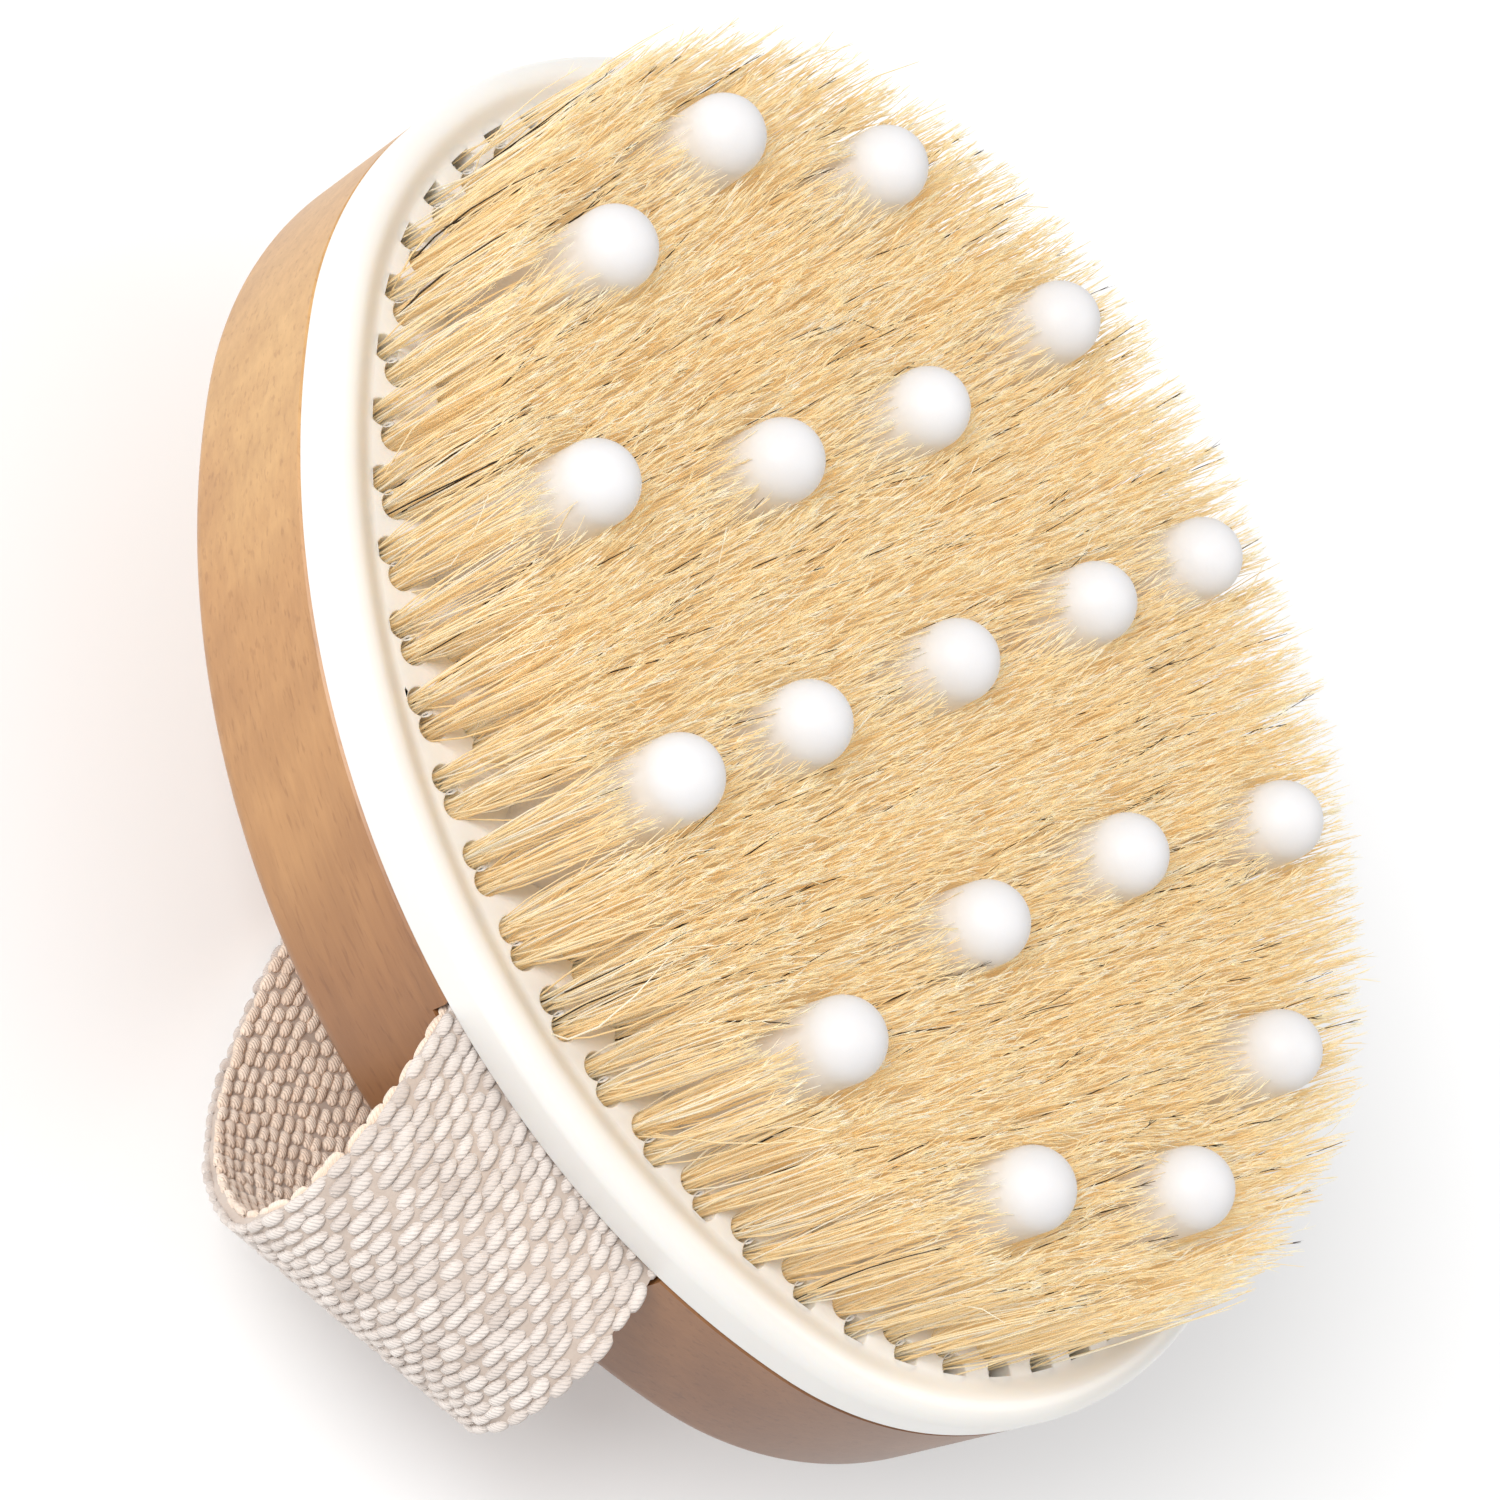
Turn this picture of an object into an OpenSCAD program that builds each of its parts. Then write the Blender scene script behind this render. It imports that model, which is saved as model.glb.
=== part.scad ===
// Oval body brush for dry brushing: a wooden back, a moulded plate that holds
// natural bristle tufts and soft massage nodules, and a webbing hand strap.
// The brush stands on the strap's crown with its bristles up. +X is the long
// axis of the head, and the origin is the middle of the crown's resting face.

/* [Head] */
// Length of the oval head
head_len = 130; // [118:1:160]
// Width of the oval head
head_wid = 94; // [78:1:100]

/* [Wooden back] */
// Thickness of the wooden back
wood_t = 20; // [15:0.5:26]
// Radius of the rounded edge at the back
wood_edge_r = 3; // [1:0.5:6]
// Chamfer where the wood meets the plate
wood_chamfer = 0.35; // [0.2:0.05:0.8]

/* [Bristle plate] */
// Thickness of the plate at its tufted face
plate_t = 4.6; // [4:0.1:7]
// Height of the raised rim over the tufted face
rim_h = 0.9; // [0.4:0.1:1.6]
// Width of the raised rim
rim_w = 4.4; // [3:0.1:4.6]
// Distance from the outside wall to the rim's crest
rim_crest = 2; // [1.2:0.1:2.6]
// Height of the rounding over the outside wall
rim_round = 2.1; // [1:0.1:3]
// Easing of the plate's lower outside edge
plate_ease = 0.2; // [0.1:0.05:0.5]

/* [Tufts] */
// Number of tuft rings around the centre
tuft_rings = 9; // [8:1:9]
// Tufts added by each ring outward
tufts_per_ring = 6; // [5:1:6]
// Distance from the head's outside to the outer ring of tufts
tuft_inset = 6; // [5.9:0.1:7]
// Diameter of a tuft in its hole
tuft_d = 2.3; // [1.8:0.1:2.6]
// Diameter of a tuft at its trimmed end
tuft_tip_d = 4; // [3:0.1:4.2]
// Length of bristle over the tufted face
bristle_len = 19.5; // [14:0.5:24]
// Gap between a tuft and the wall of its hole
tuft_clear = 0.1; // [0.05:0.05:0.2]
// Depth of a tuft hole
tuft_hole_depth = 3.8; // [3:0.1:4]

/* [Tuft anchors] */
// Thickness of the flat anchor wire
anchor_t = 0.4; // [0.3:0.05:0.6]
// Height of an anchor
anchor_h = 1.3; // [1:0.1:1.6]
// Bristle folded under an anchor
anchor_fold = 0.9; // [0.5:0.1:1.2]
// Gap between an anchor and what it touches
anchor_clear = 0.05; // [0.02:0.01:0.1]

/* [Massage nodules] */
// Height of a nodule over the tufted face
nodule_h = 22.8; // [18:0.2:28]
// Radius of a nodule's round tip
nodule_tip_r = 3.7; // [3:0.1:4.2]
// Radius of a nodule where it meets the plate
nodule_base_r = 4.3; // [3.8:0.1:4.6]
// Radius of the stem that passes through the plate
nodule_stem_r = 3; // [2:0.1:3.4]
// Radius of the flange behind the plate
nodule_flange_r = 4.2; // [3.9:0.1:4.6]
// Thickness of the flange behind the plate
nodule_flange_t = 1.2; // [0.8:0.1:1.6]
// Gap between a nodule and its hole
nodule_clear = 0.05; // [0.03:0.01:0.15]
// Gap kept between a nodule and the tufts around it
nodule_room = 0.3; // [0.2:0.1:1]
// Distance of the outer nodules from the head's ends
nodule_outer_end = 15.6; // [14:0.1:18]
// Distance of the outer nodules from the head's sides
nodule_outer_side = 13.6; // [12:0.1:15]
// Distance of the inner nodules from the head's ends
nodule_inner_end = 40.4; // [38:0.1:42]
// Distance of the inner nodules from the head's sides
nodule_inner_side = 28.6; // [26:0.1:30]

/* [Hand strap] */
// Width of the webbing
strap_w = 29; // [22:0.5:34]
// Thickness of the webbing
strap_t = 2.2; // [1.6:0.1:3]
// Turn of the strap away from straight across the head
strap_angle = 29; // [0:1:35]
// Hand room between the wood and the crown of the strap
hand_gap = 32; // [24:1:42]
// Length of the flat crown that the brush stands on
crown_len = 14; // [8:1:24]
// Bend radius where the strap leaves the head, at mid thickness
strap_bend_r = 12; // [8:0.5:16]
// Length of strap held between the wood and the plate
strap_tuck = 16; // [12:1:20]
// Gap around a strap end in its pocket
strap_clear = 0.1; // [0.05:0.05:0.3]

/* [Strap staples] */
// Thickness of the square staple wire
staple_wire = 0.7; // [0.5:0.1:1]
// Outside width of a staple
staple_w = 10; // [8:0.5:12]
// Length of a staple's legs
staple_leg = 9; // [6:0.5:10]
// Gap between a staple and its holes
staple_clear = 0.05; // [0.02:0.01:0.1]
// Distance between the two staples in one strap end
staple_pitch = 14; // [12:0.5:16]

/* [Hidden] */
$fn = 64;

CUT = 1; // how far a cut runs past the face it opens

half_len = head_len / 2;
half_wid = head_wid / 2;

// Heights of the stack, from the crown's underside up
z_back = strap_t + hand_gap;
z_seam = z_back + wood_t;
z_face = z_seam + plate_t;

// The four-arc oval. Its arcs join on lines of slope 4 to 3, so every centre and radius
// is a short exact number and the arcs meet without a step.
JOIN_RUN = 0.6;
JOIN_RISE = 0.8;
end_centre = 1.5 * (half_len - half_wid);
side_centre = 2 * (half_len - half_wid);
end_r = half_len - end_centre;
side_r = half_wid + side_centre;

// Tufts
tuft_r = tuft_d / 2;
tuft_tip_r = tuft_tip_d / 2;
tuft_hole_r = tuft_r + tuft_clear;
z_hole = z_face - tuft_hole_depth;
z_anchor = z_hole + anchor_fold;
tuft_keep_off = max(nodule_base_r + tuft_r, nodule_tip_r + tuft_tip_r) + nodule_room;
tuft_least = tuft_keep_off + 0.05;

// Nodules
nodule_inner_count = 6;
nodule_outer_count = 12;
nodule_sites = concat(
    [[0, 0]],
    [for (i = [1:nodule_inner_count]) inner_nodule_at(i)],
    [for (i = [1:nodule_outer_count]) outer_nodule_at(i)]
);

// Strap centreline, in the strap's own upright plane: h runs outward from the middle
z_strap_end = z_seam - strap_clear - strap_t / 2;
z_strap_crown = strap_t / 2;
strap_exit = max(rim_reach(strap_w / 2), rim_reach(-strap_w / 2));
strap_bend_at = strap_exit + 0.5;
crown_half = crown_len / 2;
strap_run = strap_bend_at - crown_half;
strap_fall = z_strap_end - z_strap_crown;
strap_lean = 90 - 2 * atan((strap_fall - 2 * strap_bend_r) / strap_run);
strap_side_r = strap_bend_r + strap_run / cos(strap_lean);
strap_inner_end = min(rim_reach(strap_w / 2), rim_reach(-strap_w / 2)) - strap_tuck;
STRAP_BEND_STEPS = 10;
STRAP_SIDE_STEPS = 14;

// Staples
staple_at = strap_inner_end + strap_tuck / 2;
z_strap_top = z_seam - strap_clear;

function ellipse_point(long, short, phi) = [long * cos(phi), short * sin(phi)];

function inner_nodule_at(i) = ellipse_point(
    half_len - nodule_inner_end,
    half_wid - nodule_inner_side,
    (i - 0.5) * 360 / nodule_inner_count
);

function outer_nodule_at(i) = ellipse_point(
    half_len - nodule_outer_end,
    half_wid - nodule_outer_side,
    (i - 1) * 360 / nodule_outer_count
);

// Distance from the middle, along a unit vector, to an arc's circle
function ray_to_arc(u, centre, radius) =
    let (m = u * centre)
    m + sqrt(max(0, m * m - centre * centre + radius * radius));

// Point of the oval drawn in by inset, at an ellipse's angle phi
function oval_point(inset, phi) =
    let (
        q = ellipse_point(half_len - inset, half_wid - inset, phi),
        u = [abs(q.x), abs(q.y)] / norm(q),
        on_end = u * ray_to_arc(u, [end_centre, 0], end_r - inset),
        on_side = u * ray_to_arc(u, [0, -side_centre], side_r - inset),
        at_end = on_end.y * JOIN_RUN < (on_end.x - end_centre) * JOIN_RISE,
        p = at_end ? on_end : on_side
    )
    [p.x * sign(q.x), p.y * sign(q.y)];

// Each ring has tufts_per_ring more tufts than the ring inside it
function ring_point(ring, i) =
    oval_point(tuft_inset, (i + 0.5) * 360 / (ring * tufts_per_ring)) * ring / tuft_rings;

// The innermost tufts towards the head's ends move out where the centre nodule would crowd them
function tuft_at(ring, i) =
    let (p = ring_point(ring, i), crowded = ring == 1 && abs(p.x) > abs(p.y) && norm(p) < tuft_least)
    crowded ? p * tuft_least / norm(p) : p;

function clears_nodules(p) =
    min([for (site = nodule_sites) norm(p - site)]) > tuft_keep_off;

function tuft_sites(ring) = [
    for (i = [0:ring * tufts_per_ring - 1])
        if (clears_nodules(tuft_at(ring, i))) tuft_at(ring, i)
];

// Distance from the middle to the rim along the strap, on a line set off sideways
function rim_reach(offset) =
    let (
        s = sin(strap_angle),
        c = cos(strap_angle),
        a = pow(s / half_len, 2) + pow(c / half_wid, 2),
        b = 2 * offset * s * c * (1 / pow(half_len, 2) - 1 / pow(half_wid, 2)),
        d = pow(offset, 2) * (pow(c / half_len, 2) + pow(s / half_wid, 2)) - 1
    )
    (-b + sqrt(b * b - 4 * a * d)) / (2 * a);

// Points of the strap's half loop with their outward normals, offset by half the thickness
function strap_side(offset) = concat(
    [[strap_inner_end, z_strap_end + offset]],
    [for (k = [0:STRAP_BEND_STEPS])
        let (a = 90 - k * (90 + strap_lean) / STRAP_BEND_STEPS)
        [strap_bend_at, z_strap_end - strap_bend_r]
            + (strap_bend_r + offset) * [cos(a), sin(a)]],
    [for (k = [1:STRAP_SIDE_STEPS])
        let (a = -strap_lean - k * (90 - strap_lean) / STRAP_SIDE_STEPS)
        [crown_half, z_strap_crown + strap_side_r]
            + (strap_side_r + offset) * [cos(a), sin(a)]]
);

function reversed(list) = [for (i = [len(list) - 1:-1:0]) list[i]];

function mirrored(list) = [for (p = list) [-p.x, p.y]];

// Sweeps a section around the four-arc oval. The outline lists [inset, z] from the
// bottom edge up to the top edge, and the section closes on the arc's own axis.
module oval_sweep(outline) {
    z_low = outline[0].y;
    z_high = outline[len(outline) - 1].y;
    reach = head_len;
    join_far = [end_centre + reach * JOIN_RUN, reach * JOIN_RISE];
    module ring(radius) {
        rotate_extrude()
            polygon(concat(
                [[0, z_low]],
                [for (p = outline) [radius - p.x, p.y]],
                [[0, z_high]]
            ));
    }
    module keep(corners) {
        translate([0, 0, z_low - CUT])
            linear_extrude(height = z_high - z_low + 4 * CUT)
                polygon(corners);
    }
    union() {
        for (turn = [0, 180])
            rotate([0, 0, turn])
                intersection() {
                    translate([end_centre, 0, 0])
                        ring(end_r);
                    keep([
                        [end_centre, 0],
                        [join_far.x, -join_far.y],
                        join_far
                    ]);
                }
        for (turn = [0, 180])
            rotate([0, 0, turn])
                intersection() {
                    translate([0, -side_centre, 0])
                        ring(side_r);
                    keep([
                        [-end_centre, 0],
                        [end_centre, 0],
                        join_far,
                        [-join_far.x, join_far.y]
                    ]);
                }
    }
}

// Turns children so that local X runs outward along the strap and local Y across it
module in_strap_frame() {
    rotate([0, 0, strap_angle - 90])
        children();
}

// Children at both strap ends
module at_strap_ends() {
    for (turn = [0, 180])
        in_strap_frame()
            rotate([0, 0, turn])
                children();
}

// Children at both staples of both strap ends, under the strap's upper face
module at_staples() {
    at_strap_ends()
        for (side = [-1, 1])
            translate([staple_at, side * staple_pitch / 2, z_strap_top])
                children();
}

// A staple: crown across the strap's width, legs down. Grow is the room cut around it.
module staple(grow = 0) {
    crown = [staple_wire + 2 * grow, staple_w + 2 * grow, staple_wire + grow];
    leg = [staple_wire + 2 * grow, staple_wire + 2 * grow, staple_leg + grow];
    translate([-crown.x / 2, -crown.y / 2, -staple_wire - grow])
        cube(crown);
    for (side = [-1, 1])
        translate([
            -leg.x / 2,
            side * (staple_w - staple_wire) / 2 - leg.y / 2,
            -leg.z
        ])
            cube(leg);
}

module wood_back() {
    edge_steps = 6;
    outline = concat(
        [for (k = [0:edge_steps])
            let (a = k * 90 / edge_steps)
            [wood_edge_r * (1 - sin(a)), z_back + wood_edge_r * (1 - cos(a))]],
        [[0, z_seam - wood_chamfer], [wood_chamfer, z_seam]]
    );
    color("peru")
        difference() {
            oval_sweep(outline);
            at_strap_ends()
                translate([
                    strap_inner_end - strap_clear,
                    -strap_w / 2 - strap_clear,
                    z_strap_top - strap_t
                ])
                    cube([head_len, strap_w + 2 * strap_clear, plate_t + strap_t]);
            at_staples()
                staple(staple_clear);
        }
}

module bristle_plate() {
    round_steps = 6;
    slope_steps = 6;
    z_wall = z_face + rim_h - rim_round;
    outline = concat(
        [[plate_ease, z_seam], [0, z_seam + plate_ease]],
        [for (k = [0:round_steps])
            let (a = k * 90 / round_steps)
            [rim_crest * (1 - cos(a)), z_wall + rim_round * sin(a)]],
        [for (k = [1:slope_steps])
            let (u = k / slope_steps)
            [
                rim_crest + (rim_w - rim_crest) * u,
                z_face + rim_h * (1 + cos(180 * u)) / 2
            ]]
    );
    color("ivory")
        difference() {
            oval_sweep(outline);
            for (ring = [1:tuft_rings])
                for (site = tuft_sites(ring))
                    translate([site.x, site.y, z_hole])
                        cylinder(r = tuft_hole_r, h = tuft_hole_depth + CUT);
            for (site = nodule_sites)
                translate([site.x, site.y, z_seam - CUT]) {
                    cylinder(r = nodule_stem_r + nodule_clear, h = plate_t + 2 * CUT);
                    cylinder(r = nodule_flange_r + nodule_clear, h = nodule_flange_t + CUT);
                }
        }
}

// A soft peg: flange under the plate, stem through it, tapered shank and round tip
module nodule(site) {
    shank = nodule_h - nodule_tip_r;
    color("white")
        translate([site.x, site.y, z_seam]) {
            cylinder(r = nodule_flange_r, h = nodule_flange_t);
            cylinder(r = nodule_stem_r, h = plate_t);
            translate([0, 0, plate_t])
                cylinder(r1 = nodule_base_r, r2 = nodule_tip_r, h = shank);
            translate([0, 0, plate_t + shank])
                sphere(r = nodule_tip_r);
        }
}

module nodule_centre() {
    nodule(nodule_sites[0]);
}

module nodule_inner(i) {
    nodule(inner_nodule_at(i));
}

module nodule_outer(i) {
    nodule(outer_nodule_at(i));
}

// A bristle bundle, folded under its anchor at the bottom of the hole
module tuft() {
    window = [
        2 * tuft_hole_r,
        anchor_t + 2 * anchor_clear,
        anchor_h + 2 * anchor_clear
    ];
    difference() {
        union() {
            cylinder(r = tuft_r, h = tuft_hole_depth);
            translate([0, 0, tuft_hole_depth])
                cylinder(r1 = tuft_r, r2 = tuft_tip_r, h = bristle_len);
        }
        translate([0, 0, anchor_fold + anchor_h / 2])
            cube(window, center = true);
    }
}

module tufts_ring(ring) {
    color("khaki")
        for (site = tuft_sites(ring))
            translate([site.x, site.y, z_hole])
                tuft();
}

// Flat wire anchors, one wedged across each tuft hole through the fold of its tuft
module anchors_ring(ring) {
    size = [2 * (tuft_hole_r - anchor_clear), anchor_t, anchor_h];
    color("goldenrod")
        for (site = tuft_sites(ring))
            translate([site.x, site.y, z_anchor + anchor_h / 2])
                cube(size, center = true);
}

module hand_strap() {
    outer = strap_side(strap_t / 2);
    inner = strap_side(-strap_t / 2);
    color("linen")
        difference() {
            in_strap_frame()
                rotate([90, 0, 0])
                    linear_extrude(height = strap_w, center = true)
                        polygon(concat(
                            outer,
                            reversed(mirrored(outer)),
                            mirrored(inner),
                            reversed(inner)
                        ));
            at_staples()
                staple(staple_clear);
        }
}

module strap_staples() {
    color("silver")
        at_staples()
            staple();
}

wood_back();
bristle_plate();
hand_strap();
strap_staples();
nodule_centre();
for (i = [1:nodule_inner_count])
    nodule_inner(i);
for (i = [1:nodule_outer_count])
    nodule_outer(i);
for (i = [1:tuft_rings])
    tufts_ring(i);
for (i = [1:tuft_rings])
    anchors_ring(i);
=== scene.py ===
"""Visual model of an oval body brush: smooth moulded plate, turned wooden back,
separate bristles, soft nodules and a woven strap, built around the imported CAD."""
import math

import bmesh
import bpy
import numpy as np
from mathutils import Matrix, Quaternion, Vector
from mathutils.geometry import delaunay_2d_cdt


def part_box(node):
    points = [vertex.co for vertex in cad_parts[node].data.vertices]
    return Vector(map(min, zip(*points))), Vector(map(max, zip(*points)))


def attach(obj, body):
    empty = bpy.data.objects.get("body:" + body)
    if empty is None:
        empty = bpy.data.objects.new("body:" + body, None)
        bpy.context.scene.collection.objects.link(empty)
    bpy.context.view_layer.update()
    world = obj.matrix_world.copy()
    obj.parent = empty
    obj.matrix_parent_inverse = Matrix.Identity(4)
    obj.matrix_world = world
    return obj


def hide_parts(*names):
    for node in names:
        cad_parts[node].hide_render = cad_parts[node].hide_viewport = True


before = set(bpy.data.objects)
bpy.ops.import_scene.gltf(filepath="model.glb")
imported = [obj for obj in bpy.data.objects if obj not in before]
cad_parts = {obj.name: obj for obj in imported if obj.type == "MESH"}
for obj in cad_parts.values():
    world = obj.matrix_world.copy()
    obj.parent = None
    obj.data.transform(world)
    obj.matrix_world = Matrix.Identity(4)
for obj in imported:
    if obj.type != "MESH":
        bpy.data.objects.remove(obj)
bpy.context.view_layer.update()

MM = 0.001
RINGS = 9

# ---------------------------------------------------------------- sizes
wood_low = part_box("wood_back")[0]
plate_low, plate_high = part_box("bristle_plate")
nodule_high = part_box("nodule_centre")[1]

HALF_LEN = plate_high.x
HALF_WID = plate_high.y
Z_BACK = wood_low.z
Z_SEAM = plate_low.z
RIM_H = 0.9 * MM
Z_FACE = plate_high.z - RIM_H
RIM_W = 4.4 * MM
RIM_CREST = 2.0 * MM
RIM_ROUND = 2.1 * MM

BRISTLE_LEN = 19.5 * MM
TUFT_HOLE_R = 1.25 * MM
TUFT_HOLE_DEPTH = 3.8 * MM

NODULE_BASE_R = 4.3 * MM
NODULE_TIP_R = 3.7 * MM

STRAP_W = 29 * MM
STRAP_T = 2.2 * MM
STRAP_ANGLE = math.radians(29)
STRAP_BEND_R = 12 * MM
CROWN_LEN = 14 * MM
STRAP_TUCK = 16 * MM
STRAP_CLEAR = 0.1 * MM
# Long enough for each pocket's cutter to pass out of the wood's side.
POCKET_LEN = 80 * MM


# ---------------------------------------------------------------- helpers
def mesh_piece(name, verts, faces, smooth_angle=None):
    """A new mesh object, shaded smooth with sharp edges past smooth_angle degrees."""
    mesh = bpy.data.meshes.new(name)
    mesh.from_pydata(verts, [], faces)
    mesh.update()
    if smooth_angle is not None:
        mesh.polygons.foreach_set("use_smooth", [True] * len(mesh.polygons))
        mesh.set_sharp_from_angle(angle=math.radians(smooth_angle))
    piece = bpy.data.objects.new(name, mesh)
    bpy.context.scene.collection.objects.link(piece)
    return piece


def smoothstep(x):
    """A smooth rise from 0 to 1."""
    x = np.clip(x, 0, 1)
    return x * x * (3 - 2 * x)


# ---------------------------------------------------------------- the oval
def oval_arcs():
    """Centres, radii and angle spans of the four arcs of the head's outline."""
    end_centre = 1.5 * (HALF_LEN - HALF_WID)
    side_centre = 2 * (HALF_LEN - HALF_WID)
    join = math.atan2(4, 3)
    end_r = HALF_LEN - end_centre
    side_r = HALF_WID + side_centre
    return [
        ((end_centre, 0), end_r, -join, join),
        ((0, -side_centre), side_r, join, math.pi - join),
        ((-end_centre, 0), end_r, math.pi - join, math.pi + join),
        ((0, side_centre), side_r, math.pi + join, 2 * math.pi - join),
    ]


def oval_loop(inset, per_arc=72):
    """Points around the outline drawn in by inset. Every loop has matching points."""
    points = []
    for (cx, cy), radius, start, stop in oval_arcs():
        for k in range(per_arc):
            a = start + (stop - start) * k / per_arc
            points.append((cx + (radius - inset) * math.cos(a), cy + (radius - inset) * math.sin(a)))
    return points


def sweep_oval(profile):
    """Verts and side faces of a profile of (inset, z) swept around the outline."""
    verts, faces = [], []
    loops = [oval_loop(inset) for inset, _ in profile]
    n = len(loops[0])
    for loop, (_, z) in zip(loops, profile):
        verts += [(x, y, z) for x, y in loop]
    for row in range(len(profile) - 1):
        for k in range(n):
            a = row * n + k
            b = row * n + (k + 1) % n
            faces.append((a, b, b + n, a + n))
    return verts, faces, n


# ---------------------------------------------------------------- places from the CAD nodes
def islands_centres(node):
    """Plan centres of the separate solids in a CAD node."""
    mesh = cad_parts[node].data
    count = len(mesh.vertices)
    co = np.empty(count * 3)
    mesh.vertices.foreach_get("co", co)
    co = co.reshape(-1, 3)
    # The solids stand well apart. From any point left, the middle of the points within
    # reach is found three times over, and those points are then taken away.
    left = np.ones(count, bool)
    centres = []
    reach = 2.25 * MM
    while left.any():
        seed = co[np.argmax(left)][:2]
        for _ in range(3):
            near = left & (np.hypot(co[:, 0] - seed[0], co[:, 1] - seed[1]) < reach)
            low, high = co[near, :2].min(0), co[near, :2].max(0)
            seed = (low + high) / 2
        centres.append((float(seed[0]), float(seed[1])))
        left &= ~near
    return centres


def tuft_sites(ring):
    """A tuft sits over each anchor wire, and the anchors are small and well apart."""
    return islands_centres(f"anchors_ring_{ring}")


def nodule_site(node):
    """Plan centre of a nodule."""
    low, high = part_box(node)
    return ((low.x + high.x) / 2, (low.y + high.y) / 2)


NODULES = (
    ["nodule_centre"]
    + [f"nodule_inner_{i}" for i in range(1, 7)]
    + [f"nodule_outer_{i}" for i in range(1, 13)]
)
NODULE_SITES = np.array([nodule_site(n) for n in NODULES])


# ---------------------------------------------------------------- materials
def new_material(name):
    """A node material with its Principled shader and a helper that adds nodes."""
    mat = bpy.data.materials.new(name)
    mat.use_nodes = True
    tree = mat.node_tree
    shader = tree.nodes["Principled BSDF"]

    def add(kind, inputs=None, **settings):
        node = tree.nodes.new(kind)
        for key, value in settings.items():
            setattr(node, key, value)
        for key, value in (inputs or {}).items():
            socket = node.inputs[key]
            if isinstance(value, bpy.types.NodeSocket):
                tree.links.new(value, socket)
            else:
                socket.default_value = value
        return node

    def link(a, b):
        tree.links.new(a, b)

    return mat, shader, add, link


def ramp(add, factor, stops):
    """A colour ramp of (position, (r, g, b)) stops."""
    node = add("ShaderNodeValToRGB", {"Fac": factor})
    elements = node.color_ramp.elements
    while len(elements) < len(stops):
        elements.new(0.5)
    for element, (position, colour) in zip(elements, stops):
        element.position = position
        element.color = (*colour, 1)
    return node.outputs["Color"]


def mix_colour(add, factor, a, b, mode="MIX"):
    """The colour of a mix of two sockets or (r, g, b) colours."""
    node = add("ShaderNodeMix", data_type="RGBA", blend_type=mode)
    tree = node.id_data
    for socket, value in ((node.inputs[0], factor), (node.inputs[6], a), (node.inputs[7], b)):
        if isinstance(value, bpy.types.NodeSocket):
            tree.links.new(value, socket)
        elif isinstance(value, tuple):
            socket.default_value = (*value, 1)
        else:
            socket.default_value = value
    return node.outputs[2]


def wood_material():
    mat, shader, add, link = new_material("oiled_light_wood")
    where = add("ShaderNodeTexCoord").outputs["Object"]
    fibres = add("ShaderNodeMapping", {"Vector": where, "Scale": (55, 900, 900)})
    fine = add(
        "ShaderNodeTexNoise",
        {"Vector": fibres.outputs[0], "Scale": 1.0, "Detail": 6.0, "Roughness": 0.65},
    )
    bands = add("ShaderNodeMapping", {"Vector": where, "Rotation": (0.5, 0.25, 0.35), "Scale": (1, 3.2, 1.6)})
    growth = add(
        "ShaderNodeTexWave",
        {"Vector": bands.outputs[0], "Scale": 24.0, "Distortion": 5.5, "Detail": 3.0, "Detail Scale": 1.2},
    )
    cloud = add("ShaderNodeTexNoise", {"Vector": where, "Scale": 26.0, "Detail": 3.0})
    pores = add("ShaderNodeMapping", {"Vector": where, "Scale": (380, 2100, 2100)})
    pore = add("ShaderNodeTexNoise", {"Vector": pores.outputs[0], "Scale": 1.0, "Detail": 2.0})
    # Painted shade: the wood darkens along its length, pale at -X and dark at +X, with the cloud's real
    # mottling on top.
    along = add("ShaderNodeSeparateXYZ", {0: where})
    reach = add(
        "ShaderNodeMapRange",
        {"Value": along.outputs[0], "From Min": -0.065, "From Max": 0.055},
    )
    painted_shade_and_cloud = add("ShaderNodeMath", {0: reach.outputs[0], 1: cloud.outputs["Fac"]}, operation="ADD")
    painted_shade_and_cloud = add("ShaderNodeMath", {0: painted_shade_and_cloud.outputs[0], 1: 0.42}, operation="SUBTRACT")
    base = ramp(
        add,
        painted_shade_and_cloud.outputs[0],
        [
            (0.0, (0.60, 0.37, 0.155)),
            (0.35, (0.47, 0.245, 0.092)),
            (0.70, (0.32, 0.145, 0.052)),
            (1.0, (0.20, 0.085, 0.032)),
        ],
    )
    rings = ramp(
        add,
        growth.outputs["Fac"],
        [(0.0, (0.86, 0.82, 0.78)), (0.6, (1, 1, 1)), (1.0, (0.93, 0.90, 0.87))],
    )
    grain = ramp(add, fine.outputs["Fac"], [(0.3, (0.84, 0.79, 0.74)), (0.62, (1.04, 1.03, 1.0))])
    specks = ramp(add, pore.outputs["Fac"], [(0.30, (0.70, 0.62, 0.55)), (0.42, (1, 1, 1))])
    colour = mix_colour(add, 0.55, base, rings, "MULTIPLY")
    colour = mix_colour(add, 0.75, colour, grain, "MULTIPLY")
    colour = mix_colour(add, 0.55, colour, specks, "MULTIPLY")
    link(colour, shader.inputs["Base Color"])
    shader.inputs["Roughness"].default_value = 0.42
    shader.inputs["Coat Weight"].default_value = 0.12
    shader.inputs["Coat Roughness"].default_value = 0.35
    bump = add("ShaderNodeBump", {"Strength": 0.12, "Distance": 0.0002, "Height": fine.outputs["Fac"]})
    link(bump.outputs[0], shader.inputs["Normal"])
    return mat


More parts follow.
